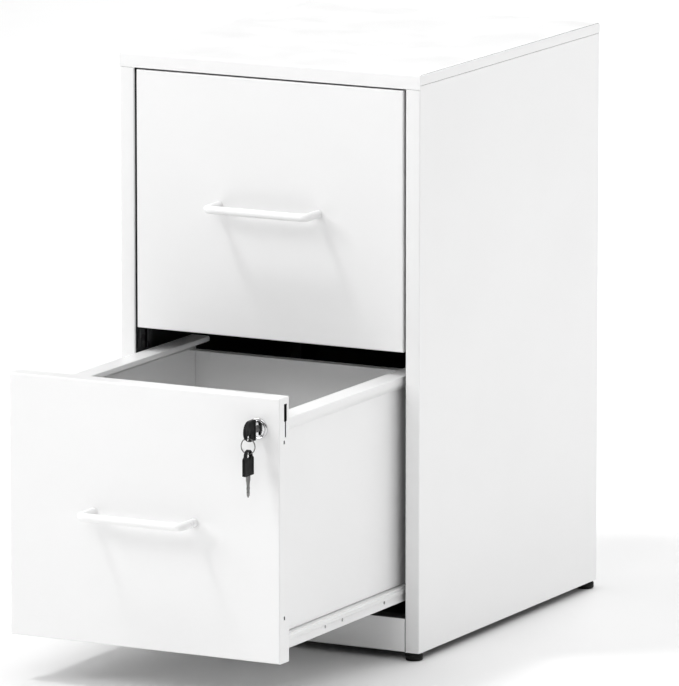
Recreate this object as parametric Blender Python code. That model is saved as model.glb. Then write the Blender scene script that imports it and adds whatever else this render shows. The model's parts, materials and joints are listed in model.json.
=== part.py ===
"""Two-drawer steel filing cabinet on four levelling glides, with its lower drawer pulled out.

Metres, +Z up, front towards -Y. The floor is z = 0 and x = 0 is the middle of the width. Along Y the
origin is midway between the open drawer's handle and the back of the cabinet.
"""

import math

import bmesh
import bpy
from mathutils import Matrix, Vector

MM = 0.001
GAP = 0.3 * MM
SHEET = 1.0 * MM
BEND = 1.8 * MM
HEM = 13 * MM

# Cabinet body
CABINET_WIDTH = 362 * MM
CABINET_DEPTH = 431 * MM
BODY_HEIGHT = 624 * MM
GLIDE_HEIGHT = 8.5 * MM
STILE_WIDTH = 17 * MM
STILE_RETURN = 11.4 * MM
STILE_SLOT = (4 * MM, 8 * MM)
STILE_SLOT_HEIGHT = 18.5 * MM
REAR_FLANGE = 15 * MM
TOP_LIP_FRONT = 16.2 * MM
TOP_LIP_SIDE = 11.6 * MM
TOP_EDGE_RADIUS = 2.4 * MM
PLINTH_HEIGHT = 37 * MM
PLINTH_TOP_FLANGE = 22 * MM
PLINTH_BOTTOM_FLANGE = 10 * MM
BASE_FLANGE = 12 * MM

# Drawers
DRAWER_FRONT_WIDTH = 322 * MM
DRAWER_FRONT_HEIGHT = 281.2 * MM
DRAWER_FRONT_DEPTH = 20.3 * MM
DRAWER_TOP_GAP = 1.8 * MM
DRAWER_PITCH = 283.8 * MM
DRAWER_SIDE_X = 154 * MM
DRAWER_SIDE_END = 394.6 * MM
DRAWER_FLOOR = 29.5 * MM
DRAWER_RIM = 257.5 * MM
RIM_WIDTH = 23.4 * MM
RIM_OVERHANG = 5.6 * MM
RIM_LIP = ((14.2 * MM, 0), (9 * MM, 4.8 * MM))
RIM_HEM = 5.5 * MM
REAR_WALL_BELOW_RIM = 15 * MM
OPEN_AT_REST = 277.1 * MM
CAM_SLOT_BELOW_TOP = (7.3 * MM, 25.8 * MM, 42.6 * MM)
CAM_SLOT_WIDE = (10 * MM, 16.5 * MM)
CAM_SLOT_NARROW = (11.9 * MM, 14.7 * MM)
FLANGE_HOLES_BELOW_TOP = (47.5 * MM, 233.7 * MM)
FLANGE_HOLE_Y = 10.5 * MM
TOP_SLOT = ((100.7 * MM, 15.3 * MM), (142.9 * MM, 16.8 * MM))

# Bow handles
HANDLE_CENTRES = 120 * MM
HANDLE_RADIUS = 4.5 * MM
HANDLE_PROJECTION = 30.3 * MM
HANDLE_BEND_RADIUS = 6 * MM
HANDLE_RISE = 0.8 * MM
SCREW_RADIUS = 1.9 * MM
SCREW_BORE_DEPTH = 10 * MM

# Lock, keys and key ring
LOCK_X = 136 * MM
LOCK_BELOW_TOP = 33 * MM
LOCK_RING_RADIUS = 12 * MM
LOCK_PROUD = 2.3 * MM
LOCK_BARREL_RADIUS = 8 * MM
LOCK_BARREL_END = 11.8 * MM
PLUG_FACE_RADIUS = 9 * MM
PLUG_RADIUS = 6.3 * MM
PLUG_TAIL_RADIUS = 5.2 * MM
PLUG_END = 18.5 * MM
CAM_Y = 12.4 * MM
CAM_THICKNESS = 1.8 * MM
CAM_REACH = 31 * MM
CAM_TAIL = 8.5 * MM
CAM_HALF_WIDTH = 6 * MM
CAM_CORNER = 2.5 * MM
CAM_HUB_RADIUS = 8.7 * MM
CAM_NUT_Y = 14.5 * MM
CAM_NUT_THICKNESS = 2 * MM
CAM_NUT_ACROSS_FLATS = 15 * MM
KEY_STAND_OFF = 8.1 * MM
KEY_BOW = (22 * MM, 11 * MM)
SPARE_BOW = (28.6 * MM, 9.6 * MM)
BOW_THICKNESS = 3.4 * MM
BOW_HOLE_FROM_BASE = 14.2 * MM
BOW_HOLE_BELOW = 7 * MM
BOW_HOLE_RADIUS = 2.2 * MM
BLADE_HALF_HEIGHT = 3.65 * MM
BLADE_THICKNESS = 1.6 * MM
BLADE_LENGTH = 20.5 * MM
BLADE_IN_BOW = 8 * MM
BLADE_CUT_PITCH = 2.8 * MM
BLADE_CUT_FLAT = 1.2 * MM
BLADE_CUT_DEPTHS = (0.4 * MM, 1.7 * MM, 0.9 * MM, 2.0 * MM, 0.9 * MM)
RING_RADIUS = 8.15 * MM
RING_WIRE_RADIUS = 0.65 * MM
SPARE_HOLE_BELOW_TOP = 5.9 * MM

# Drawer slides, across the cabinet and in heights above the drawer front's bottom edge
MEMBER_TOP = 29 * MM
MEMBER_BOTTOM = 14.1 * MM
MEMBER_OUTER_X = 160.4 * MM
MEMBER_STEP = 1.2 * MM
MEMBER_BULGE_BELOW_TOP = (1.6 * MM, 2.8 * MM, 6.2 * MM, 7.2 * MM)
MEMBER_FOOT = 1.6 * MM
MEMBER_INNER_X = 149 * MM
MEMBER_START = 20.8 * MM
MEMBER_END = 390 * MM
MEMBER_HOLES = (104.8 * MM, 143.2 * MM, 239.1 * MM)
MEMBER_HOLE_HEIGHT = 20 * MM
MEMBER_HOLE_RADIUS = 2 * MM
RAIL_SHEET = 1.2 * MM
RAIL_WEB_X = 149.4 * MM
RAIL_EDGE_X = 157.6 * MM
RAIL_TOP = 26.1 * MM
RAIL_TRACK = 14.2 * MM
RAIL_BOTTOM = 10.6 * MM
RAIL_START = 22 * MM
RAIL_END = 412 * MM
TAB_LENGTH = 20 * MM
TAB_DROP = 3 * MM
ROLLER_FROM_X = 151.6 * MM
ROLLER_TO_X = 156.8 * MM
ROLLER_PIN_RADIUS = 2.0 * MM
ROLLER_PIN_HEAD_RADIUS = 3.0 * MM
ROLLER_PIN_HEAD = 0.8 * MM
FRONT_ROLLER_RADIUS = 6.4 * MM
FRONT_ROLLER_Y = 28.9 * MM
REAR_ROLLER_RADIUS = 5 * MM
REAR_ROLLER_Y = 382 * MM

# Inner uprights
UPRIGHT_X = 165.8 * MM
UPRIGHT_DEPTH = 28 * MM
UPRIGHT_SHEET = 1.2 * MM
UPRIGHT_SLOTS = 5
UPRIGHT_SLOT = (5 * MM, 22 * MM)
UPRIGHTS_Y = {"front": 16 * MM, "rear": 386 * MM}

# Levelling glides
GLIDE_RADIUS = 9.5 * MM
GLIDE_STEM_RADIUS = 3.0 * MM
GLIDE_STEM_TOP = 24 * MM
GLIDE_FROM_SIDE = 9.6 * MM
GLIDE_BOSS_RADIUS = 5.6 * MM
GLIDE_BOSS_HEIGHT = 6 * MM
GLIDES_Y = {"front": 7.5 * MM, "rear": 421.4 * MM}

TOP_Z = GLIDE_HEIGHT + BODY_HEIGHT
HALF_WIDTH = CABINET_WIDTH / 2
STILE_EDGE_X = HALF_WIDTH - STILE_WIDTH
INSIDE_X = HALF_WIDTH - SHEET - 0.4 * MM
HANDLE_REACH = HANDLE_PROJECTION + HANDLE_RADIUS
FRONT_Y = (OPEN_AT_REST + HANDLE_REACH - CABINET_DEPTH) / 2
UPPER_DRAWER_Z = TOP_Z - TOP_LIP_FRONT - DRAWER_TOP_GAP - DRAWER_FRONT_HEIGHT
LOWER_DRAWER_Z = UPPER_DRAWER_Z - DRAWER_PITCH
BASE_Z = GLIDE_HEIGHT + SHEET + 0.4 * MM
HANDLE_Z = DRAWER_FRONT_HEIGHT / 2 + HANDLE_RISE
LOCK_Z = DRAWER_FRONT_HEIGHT - LOCK_BELOW_TOP
SIDES = {"left": -1, "right": 1}
FURTHER = 5 * MM

BEND_STEPS = 2
ROUND_SIDES = 20
SMOOTH_ANGLE = math.radians(35)
MERGE_DISTANCE = 0.01 * MM


# ---------------------------------------------------------------- outlines


def corner_arc(before, corner, after, radius, steps):
    """The points of the arc of this radius that rounds the corner."""
    to_before = (before - corner).normalized()
    to_after = (after - corner).normalized()
    half_angle = to_before.angle(to_after) / 2
    middle = corner + (to_before + to_after).normalized() * (radius / math.sin(half_angle))
    start = corner + to_before * (radius / math.tan(half_angle)) - middle
    end = corner + to_after * (radius / math.tan(half_angle)) - middle
    first = math.atan2(start.y, start.x)
    sweep = math.remainder(math.atan2(end.y, end.x) - first, 2 * math.pi)
    angles = [first + sweep * step / steps for step in range(steps + 1)]
    return [middle + radius * Vector((math.cos(a), math.sin(a))) for a in angles]


def bent(corners, radius=BEND, steps=BEND_STEPS):
    """An open path through these corners, with an arc in place of each one but the ends."""
    corners = [Vector(corner) for corner in corners]
    path = [corners[0]]
    for before, corner, after in zip(corners, corners[1:], corners[2:]):
        path += corner_arc(before, corner, after, radius, steps)
    return path + [corners[-1]]


def rounded_outline(corners, radius, steps=BEND_STEPS):
    """A closed outline with an arc in place of each corner."""
    corners = [Vector(corner) for corner in corners]
    outline = []
    for index, corner in enumerate(corners):
        after = corners[(index + 1) % len(corners)]
        outline += corner_arc(corners[index - 1], corner, after, radius, steps)
    return outline


def sheet_outline(path, thickness=SHEET):
    """The closed outline of a sheet whose outer face follows the path and whose metal is on its left."""
    path = [Vector(point) for point in path]
    inner = []
    for index, point in enumerate(path):
        pairs = zip(path[max(index - 1, 0) : index + 1], path[max(index, 1) : index + 2])
        normals = [(b - a).normalized().orthogonal() for a, b in pairs]
        mitre = sum(normals, Vector((0, 0))).normalized()
        inner.append(point + mitre * (thickness / mitre.dot(normals[0])))
    return path + inner[::-1]


def rectangle(low, high):
    return [low, (high[0], low[1]), high, (low[0], high[1])]


def circle(centre, radius, sides=ROUND_SIDES):
    angles = [2 * math.pi * step / sides for step in range(sides)]
    return [(centre[0] + radius * math.cos(a), centre[1] + radius * math.sin(a)) for a in angles]


def regular_hexagon(across_flats):
    return circle((0, 0), across_flats / math.sqrt(3), 6)


# ---------------------------------------------------------------- solids


def remove_everything():
    for thing in list(bpy.data.objects):
        bpy.data.objects.remove(thing, do_unlink=True)


def make_material(name, color, roughness, metallic=0.0):
    material = bpy.data.materials.new(name)
    material.use_nodes = True
    shader = material.node_tree.nodes["Principled BSDF"]
    shader.inputs["Base Color"].default_value = (*color, 1)
    shader.inputs["Roughness"].default_value = roughness
    shader.inputs["Metallic"].default_value = metallic
    return material


def empty(name, location, parent=None):
    thing = bpy.data.objects.new(name, None)
    bpy.context.collection.objects.link(thing)
    thing.parent = parent
    thing.location = location
    return thing


def add_prism(mesh, outline, axis, low, high):
    """Adds to the mesh a prism along this axis; its outline is in the other two axes, in XYZ order."""
    rings = []
    for along in (low, high):
        points = [list(point) for point in outline]
        for point in points:
            point.insert("XYZ".index(axis), along)
        rings.append([mesh.verts.new(point) for point in points])
    faces = [mesh.faces.new(rings[0]), mesh.faces.new(rings[1])]
    for index in range(len(outline)):
        side = [rings[0][index - 1], rings[0][index], rings[1][index], rings[1][index - 1]]
        faces.append(mesh.faces.new(side))
    bmesh.ops.recalc_face_normals(mesh, faces=faces)


def add_lathe(mesh, profile, axis, centre):
    """Adds to the mesh a body of revolution; its profile is (radius, distance along the axis)."""
    turn = {"X": Matrix.Rotation(math.pi / 2, 4, "Y"), "Y": Matrix.Rotation(-math.pi / 2, 4, "X")}
    matrix = Matrix.Translation(centre) @ turn.get(axis, Matrix())
    rings = []
    for radius, along in profile:
        points = circle((0, 0), radius) if radius else [(0, 0)] * ROUND_SIDES
        rings.append([mesh.verts.new(matrix @ Vector((x, y, along))) for x, y in points])
    pairs = list(zip(rings, rings[1:]))
    if profile[0][0] > 0:
        pairs.append((rings[-1], rings[0]))
    for first, second in pairs:
        for index in range(ROUND_SIDES):
            mesh.faces.new([first[index - 1], first[index], second[index], second[index - 1]])
    bmesh.ops.remove_doubles(mesh, verts=mesh.verts, dist=MERGE_DISTANCE)
    bmesh.ops.recalc_face_normals(mesh, faces=mesh.faces)


def finish(name, mesh, material, parent, location=(0, 0, 0), smooth=False):
    """Makes an object from the mesh."""
    data = bpy.data.meshes.new(name)
    mesh.to_mesh(data)
    mesh.free()
    thing = bpy.data.objects.new(name, data)
    bpy.context.collection.objects.link(thing)
    data.materials.append(material)
    thing.parent = parent
    thing.location = location
    if smooth:
        data.shade_smooth()
        data.set_sharp_from_angle(angle=SMOOTH_ANGLE)
    return thing


def prism(name, outline, axis, low, high, material, parent, location=(0, 0, 0)):
    mesh = bmesh.new()
    add_prism(mesh, outline, axis, low, high)
    return finish(name, mesh, material, parent, location)


def lathe(name, profile, axis, material, parent, location=(0, 0, 0)):
    mesh = bmesh.new()
    add_lathe(mesh, profile, axis, Vector((0, 0, 0)))
    return finish(name, mesh, material, parent, location, smooth=True)


def pan(name, low, high, open_side, radius, material, parent):
    """A thin-walled box with one side open, and bends of this radius round the side opposite it."""
    mesh = bmesh.new()
    middle = [(a + b) / 2 for a, b in zip(low, high)]
    size = [b - a for a, b in zip(low, high)]
    bmesh.ops.create_cube(mesh, size=1, matrix=Matrix.LocRotScale(Vector(middle), None, Vector(size)))
    open_face = max(mesh.faces, key=lambda face: face.normal.dot(open_side))
    closed_face = min(mesh.faces, key=lambda face: face.normal.dot(open_side))
    bends = list(closed_face.edges)
    bmesh.ops.delete(mesh, geom=[open_face], context="FACES_ONLY")
    bmesh.ops.bevel(mesh, geom=bends, offset=radius, segments=BEND_STEPS + 1, profile=0.5, affect="EDGES")
    thing = finish(name, mesh, material, parent)
    solidify = thing.modifiers.new("sheet", "SOLIDIFY")
    solidify.thickness = SHEET
    solidify.offset = -1
    solidify.use_even_offset = True
    return thing


def boolean(target, mesh, operation):
    """Cuts the mesh from the target, or joins it on, with a hidden helper object."""
    helper = finish(f"{target.name}_{operation.lower()}", mesh, target.data.materials[0], target)
    helper.hide_render = True
    helper.display_type = "WIRE"
    modifier = target.modifiers.new(operation.lower(), "BOOLEAN")
    modifier.operation = operation
    modifier.solver = "EXACT"
    modifier.object = helper


def cut(target, shapes):
    """Cuts away prisms, each given as (outline, axis, low, high)."""
    mesh = bmesh.new()
    for shape in shapes:
        add_prism(mesh, *shape)
    boolean(target, mesh, "DIFFERENCE")


def fuse(target, shapes):
    """Joins on prisms, one after another."""
    for shape in shapes:
        mesh = bmesh.new()
        add_prism(mesh, *shape)
        boolean(target, mesh, "UNION")


def mirrored(outline, side):
    return [(side * point[0], point[1]) for point in outline]


def span(side, low, high):
    """The low and high ends of a distance from the middle, on this side."""
    return sorted((side * low, side * high))


# ---------------------------------------------------------------- cabinet


def add_top_panel(cabinet, paint):
    low = (-HALF_WIDTH, 0, TOP_Z - TOP_LIP_FRONT)
    high = (HALF_WIDTH, CABINET_DEPTH, TOP_Z)
    top = pan("top_panel", low, high, Vector((0, 0, -1)), TOP_EDGE_RADIUS, paint, cabinet)
    low = (-HALF_WIDTH - FURTHER, 1.2 * SHEET)
    high = (HALF_WIDTH + FURTHER, CABINET_DEPTH + FURTHER)
    low_z = TOP_Z - TOP_LIP_FRONT - FURTHER
    cut(top, [(rectangle(low, high), "Z", low_z, TOP_Z - TOP_LIP_SIDE)])


def add_side_panel(name, side, cabinet, paint):
    corners = [
        (STILE_EDGE_X, STILE_RETURN),
        (STILE_EDGE_X, 0),
        (HALF_WIDTH, 0),
        (HALF_WIDTH, CABINET_DEPTH),
        (HALF_WIDTH - REAR_FLANGE, CABINET_DEPTH),
    ]
    outline = mirrored(sheet_outline(bent(corners)), side)
    top = TOP_Z - TOP_LIP_SIDE - 0.4 * MM
    panel = prism(name, outline, "Z", GLIDE_HEIGHT, top, paint, cabinet)
    flange = rectangle((HALF_WIDTH - HEM, top - SHEET), (HALF_WIDTH - SHEET / 2, top))
    fuse(panel, [(mirrored(flange, side), "Y", STILE_RETURN + FURTHER, CABINET_DEPTH - 2 * SHEET)])
    cuts = []
    lip_z = TOP_Z - TOP_LIP_FRONT - GAP
    under_lip = rectangle((STILE_EDGE_X - FURTHER, lip_z), (HALF_WIDTH + FURTHER, TOP_Z))
    cuts.append((mirrored(under_lip, side), "Y", -FURTHER, 1.3 * SHEET))
    return_x = span(side, STILE_EDGE_X - SHEET / 2, STILE_EDGE_X + 1.5 * SHEET)
    for slot_top in (TOP_Z - 21 * MM, TOP_Z - 305 * MM):
        slot = rectangle((STILE_SLOT[0], slot_top - STILE_SLOT_HEIGHT), (STILE_SLOT[1], slot_top))
        cuts.append((slot, "X", *return_x))
    cut(panel, cuts)


def add_back_panel(cabinet, paint):
    back = CABINET_DEPTH - SHEET - GAP
    bottom = BASE_Z + SHEET + GAP
    corners = [(back, bottom), (back, TOP_Z - HEM - 0.5 * MM), (back - HEM, TOP_Z - HEM - 0.5 * MM)]
    outline = sheet_outline(bent(corners))
    prism("back_panel", outline, "X", -INSIDE_X, INSIDE_X, paint, cabinet)


def add_plinth_rail(cabinet, paint):
    top = GLIDE_HEIGHT + PLINTH_HEIGHT
    corners = [(PLINTH_TOP_FLANGE, top), (0, top), (0, GLIDE_HEIGHT), (PLINTH_BOTTOM_FLANGE, GLIDE_HEIGHT)]
    half = STILE_EDGE_X - GAP
    prism("plinth_rail", sheet_outline(bent(corners)), "X", -half, half, paint, cabinet)


def add_top_front_rail(cabinet, paint):
    low = TOP_Z - TOP_LIP_FRONT + 0.7 * MM
    high = TOP_Z - 1.5 * SHEET
    corners = [(25 * MM, low), (25 * MM, high), (2 * MM, high), (2 * MM, low)]
    half = STILE_EDGE_X - 0.4 * MM
    prism("top_front_rail", sheet_outline(bent(corners)), "X", -half, half, paint, cabinet)


def add_base_pan(cabinet, paint):
    low = (-INSIDE_X, 1.4 * SHEET, BASE_Z)
    high = (INSIDE_X, CABINET_DEPTH - 2 * SHEET - 2 * GAP, BASE_Z + BASE_FLANGE)
    base = pan("base_pan", low, high, Vector((0, 0, 1)), BEND, paint, cabinet)
    bosses = []
    cuts = []
    for side in SIDES.values():
        x = side * (HALF_WIDTH - GLIDE_FROM_SIDE)
        for y in GLIDES_Y.values():
            boss = circle((x, y), GLIDE_BOSS_RADIUS)
            hole = circle((x, y), GLIDE_STEM_RADIUS + GAP)
            bosses.append((boss, "Z", BASE_Z + SHEET / 2, BASE_Z + GLIDE_BOSS_HEIGHT))
            cuts.append((hole, "Z", BASE_Z - FURTHER, BASE_Z + GLIDE_BOSS_HEIGHT + FURTHER))
        low_x, high_x = span(side, STILE_EDGE_X - 2 * GAP, STILE_EDGE_X + SHEET + GAP)
        notch = rectangle((low_x, -FURTHER), (high_x, STILE_RETURN + 2 * GAP))
        cuts.append((notch, "Z", BASE_Z - FURTHER, BASE_Z + BASE_FLANGE + FURTHER))
    fuse(base, bosses)
    cut(base, cuts)


def add_upright(name, side, y, cabinet, steel):
    low = BASE_Z + BASE_FLANGE + 2 * MM
    high = TOP_Z - 22 * MM
    corners = [
        (INSIDE_X, y + UPRIGHT_DEPTH),
        (UPRIGHT_X, y + UPRIGHT_DEPTH),
        (UPRIGHT_X, y),
        (INSIDE_X, y),
    ]
    outline = mirrored(sheet_outline(bent(corners), UPRIGHT_SHEET), side)
    upright = prism(name, outline, "Z", low, high, steel, cabinet)
    middle = y + UPRIGHT_DEPTH / 2
    cuts = []
    for index in range(UPRIGHT_SLOTS):
        z = low + (high - low) * (index + 0.5) / UPRIGHT_SLOTS
        low_corner = (middle - UPRIGHT_SLOT[0] / 2, z - UPRIGHT_SLOT[1] / 2)
        high_corner = (middle + UPRIGHT_SLOT[0] / 2, z + UPRIGHT_SLOT[1] / 2)
        slot_x = span(side, UPRIGHT_X - FURTHER, UPRIGHT_X + 2 * UPRIGHT_SHEET)
        cuts.append((rectangle(low_corner, high_corner), "X", *slot_x))
    cut(upright, cuts)


def add_glide(name, side, y, cabinet, plastic):
    profile = [
        (0, 0),
        (GLIDE_RADIUS - 0.8 * MM, 0),
        (GLIDE_RADIUS, 1.0 * MM),
        (GLIDE_RADIUS, 6.2 * MM),
        (GLIDE_RADIUS - 2.2 * MM, GLIDE_HEIGHT - GAP),
        (GLIDE_STEM_RADIUS, GLIDE_HEIGHT - GAP),
        (GLIDE_STEM_RADIUS, GLIDE_STEM_TOP),
        (0, GLIDE_STEM_TOP),
    ]
    location = (side * (HALF_WIDTH - GLIDE_FROM_SIDE), y, 0)
    lathe(name, profile, "Z", plastic, cabinet, location)


# ---------------------------------------------------------------- drawer slides


def roller_axle(side, from_x, to_x, head_x, y, z):
    """A pin along X from the metal it is fixed in, with a head past the roller, as prisms to fuse on."""
    pin = (circle((y, z), ROLLER_PIN_RADIUS, 12), "X", *span(side, from_x, to_x))
    head = (circle((y, z), ROLLER_PIN_HEAD_RADIUS, 12), "X", *span(side, to_x, head_x))
    return [pin, head]


def front_axle_z():
    return MEMBER_TOP - SHEET - GAP - FRONT_ROLLER_RADIUS


def rear_axle_z():
    return RAIL_TRACK + GAP + REAR_ROLLER_RADIUS


def add_cabinet_slide(name, side, bottom, cabinet, paint):
    """The slide half fixed to the cabinet: a track at the web's foot and a lip that holds the drawer down."""
    inner_x = RAIL_WEB_X - RAIL_SHEET
    outline = [
        (inner_x, RAIL_BOTTOM),
        (RAIL_WEB_X, RAIL_BOTTOM),
        (RAIL_WEB_X, RAIL_TRACK - RAIL_SHEET),
        (RAIL_EDGE_X, RAIL_TRACK - RAIL_SHEET),
        (RAIL_EDGE_X, RAIL_TRACK),
        (RAIL_WEB_X, RAIL_TRACK),
        (RAIL_WEB_X, RAIL_TOP - RAIL_SHEET),
        (RAIL_EDGE_X - 1 * MM, RAIL_TOP - RAIL_SHEET),
        (RAIL_EDGE_X - 1 * MM, RAIL_TOP),
        (inner_x, RAIL_TOP),
    ]
    location = (0, 0, bottom)
    slide = prism(name, mirrored(outline, side), "Y", RAIL_START, RAIL_END, paint, cabinet, location)
    tab_x = UPRIGHT_X - 0.5 * MM
    tab = [
        (inner_x + 0.1 * MM, RAIL_BOTTOM - 0.01 * MM),
        (tab_x - RAIL_SHEET, RAIL_BOTTOM - 0.01 * MM),
        (tab_x - RAIL_SHEET, -TAB_DROP),
        (tab_x, -TAB_DROP),
        (tab_x, RAIL_BOTTOM + RAIL_SHEET),
        (inner_x + 0.1 * MM, RAIL_BOTTOM + RAIL_SHEET),
    ]
    tab = mirrored(tab, side)
    shapes = [(tab, "Y", RAIL_START + 0.1 * MM, RAIL_START + TAB_LENGTH)]
    shapes.append((tab, "Y", RAIL_END - TAB_LENGTH, RAIL_END - 0.1 * MM))
    axle_z = front_axle_z()
    pin_end = ROLLER_TO_X + GAP
    pin_start = RAIL_WEB_X - RAIL_SHEET / 2
    shapes += roller_axle(side, pin_start, pin_end, pin_end + ROLLER_PIN_HEAD, FRONT_ROLLER_Y, axle_z)
    fuse(slide, shapes)
    lip_end = FRONT_ROLLER_Y + FRONT_ROLLER_RADIUS + 3 * MM
    lip = rectangle((RAIL_WEB_X, RAIL_TOP - 2 * RAIL_SHEET), (RAIL_EDGE_X + FURTHER, RAIL_TOP + FURTHER))
    cuts = [(mirrored(lip, side), "Y", RAIL_START - FURTHER, lip_end)]
    for x in (RAIL_START + 90 * MM, RAIL_START + 200 * MM, RAIL_START + 310 * MM):
        hole = rectangle((x, RAIL_TRACK + 3 * MM), (x + 10 * MM, RAIL_TOP - 4 * MM))
        cuts.append((hole, "X", *span(side, inner_x - FURTHER, RAIL_WEB_X + 2 * MM)))
    cut(slide, cuts)


def add_drawer_slide(name, side, drawer, paint):
    """The slide half under the drawer: a ledge that carries it and a web with a bulge outside the rollers."""
    outer = MEMBER_OUTER_X
    web = outer - MEMBER_STEP
    shoulder, bulge_top, bulge_bottom, groove = (MEMBER_TOP - below for below in MEMBER_BULGE_BELOW_TOP)
    corners = [
        (outer, MEMBER_BOTTOM),
        (web, MEMBER_BOTTOM + MEMBER_FOOT),
        (web, groove),
        (outer, bulge_bottom),
        (outer, bulge_top),
        (web, shoulder),
        (web, MEMBER_TOP),
        (MEMBER_INNER_X, MEMBER_TOP),
    ]
    outline = sheet_outline(corners)
    slide = prism(name, mirrored(outline, side), "Y", MEMBER_START, MEMBER_END, paint, drawer)
    pin_start = web - SHEET / 2
    pin_end = ROLLER_FROM_X - GAP
    fuse(slide, roller_axle(side, pin_start, pin_end, pin_end - SHEET, REAR_ROLLER_Y, rear_axle_z()))
    hole_x = span(side, web - FURTHER, outer + FURTHER)
    cuts = [(circle((y, MEMBER_HOLE_HEIGHT), MEMBER_HOLE_RADIUS, 12), "X", *hole_x) for y in MEMBER_HOLES]
    cut(slide, cuts)


def add_roller(name, side, radius, y, z, parent, nylon):
    bore = ROLLER_PIN_RADIUS + GAP
    low, high = span(side, ROLLER_FROM_X, ROLLER_TO_X)
    chamfer = 0.6 * MM
    profile = [
        (bore, low),
        (radius - chamfer, low),
        (radius, low + chamfer),
        (radius, high - chamfer),
        (radius - chamfer, high),
        (bore, high),
    ]
    middle = (low + high) / 2
    profile = [(point[0], point[1] - middle) for point in profile]
    lathe(name, profile, "X", nylon, parent, (middle, y, z))


# ---------------------------------------------------------------- drawers


def add_drawer_front(prefix, drawer, paint, has_lock):
    half = DRAWER_FRONT_WIDTH / 2
    height = DRAWER_FRONT_HEIGHT
    low = (-half, 0, 0)
    high = (half, DRAWER_FRONT_DEPTH, height)
    front = pan(f"{prefix}_drawer_front", low, high, Vector((0, 1, 0)), BEND, paint, drawer)
    top, step, bottom = (height - below for below in CAM_SLOT_BELOW_TOP)
    cam_slot = [
        (CAM_SLOT_WIDE[0], top),
        (CAM_SLOT_WIDE[0], step),
        (CAM_SLOT_NARROW[0], step),
        (CAM_SLOT_NARROW[0], bottom),
        (CAM_SLOT_NARROW[1], bottom),
        (CAM_SLOT_NARROW[1], step),
        (CAM_SLOT_WIDE[1], step),
        (CAM_SLOT_WIDE[1], top),
    ]
    cuts = []
    for side in SIDES.values():
        flange_x = span(side, half - 2 * SHEET, half + FURTHER)
        cuts.append((cam_slot, "X", *flange_x))
        for hole_z in FLANGE_HOLES_BELOW_TOP:
            low = (FLANGE_HOLE_Y - 1.5 * MM, height - hole_z - 2 * MM)
            high = (FLANGE_HOLE_Y + 1.5 * MM, height - hole_z + 2 * MM)
            cuts.append((rectangle(low, high), "X", *flange_x))
        screw = circle((side * HANDLE_CENTRES / 2, HANDLE_Z), SCREW_RADIUS + GAP, 12)
        cuts.append((screw, "Y", -FURTHER, 2 * SHEET))
    cuts.append((rectangle(*TOP_SLOT), "Z", height - 2 * SHEET, height + FURTHER))
    if has_lock:
        cuts.append((circle((LOCK_X, LOCK_Z), LOCK_BARREL_RADIUS + GAP), "Y", -FURTHER, 2 * SHEET))
    cut(front, cuts)


def add_drawer_body(prefix, drawer, paint):
    half = DRAWER_FRONT_WIDTH / 2 - SHEET - GAP
    back = DRAWER_FRONT_DEPTH
    top = DRAWER_FRONT_HEIGHT - SHEET - GAP
    corners = [(8 * MM, SHEET + GAP), (back, SHEET + GAP), (back, top)]
    outline = sheet_outline(bent(corners))
    prism(f"{prefix}_drawer_inner_front", outline, "X", -half, half, paint, drawer)

    start = DRAWER_FRONT_DEPTH + GAP
    rim_x = DRAWER_SIDE_X + RIM_OVERHANG
    lip_start, lip_end = [(DRAWER_SIDE_X + out, DRAWER_RIM - below) for below, out in RIM_LIP]
    foot = [(DRAWER_SIDE_X - HEM, DRAWER_FLOOR), (DRAWER_SIDE_X, DRAWER_FLOOR), lip_start]
    rim = [
        lip_end,
        (rim_x, DRAWER_RIM),
        (rim_x - RIM_WIDTH, DRAWER_RIM),
        (rim_x - RIM_WIDTH, DRAWER_RIM - RIM_HEM),
    ]
    outline = sheet_outline(bent(foot) + bent(rim))
    for name, side in SIDES.items():
        wall = f"{prefix}_drawer_{name}_side"
        prism(wall, mirrored(outline, side), "Y", start, DRAWER_SIDE_END, paint, drawer)

    half = DRAWER_SIDE_X - SHEET - GAP
    rear = DRAWER_SIDE_END - SHEET
    floor = DRAWER_FLOOR + SHEET + GAP
    end = rear - SHEET - GAP
    corners = [(start, floor + HEM), (start, floor), (end, floor), (end, floor + HEM)]
    outline = sheet_outline(bent(corners))
    prism(f"{prefix}_drawer_bottom", outline, "X", -half, half, paint, drawer)

    rear_top = DRAWER_RIM - REAR_WALL_BELOW_RIM
    corners = [(rear, floor), (rear, rear_top), (rear - HEM, rear_top)]
    outline = sheet_outline(bent(corners))
    prism(f"{prefix}_drawer_rear_wall", outline, "X", -half, half, paint, drawer)


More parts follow.
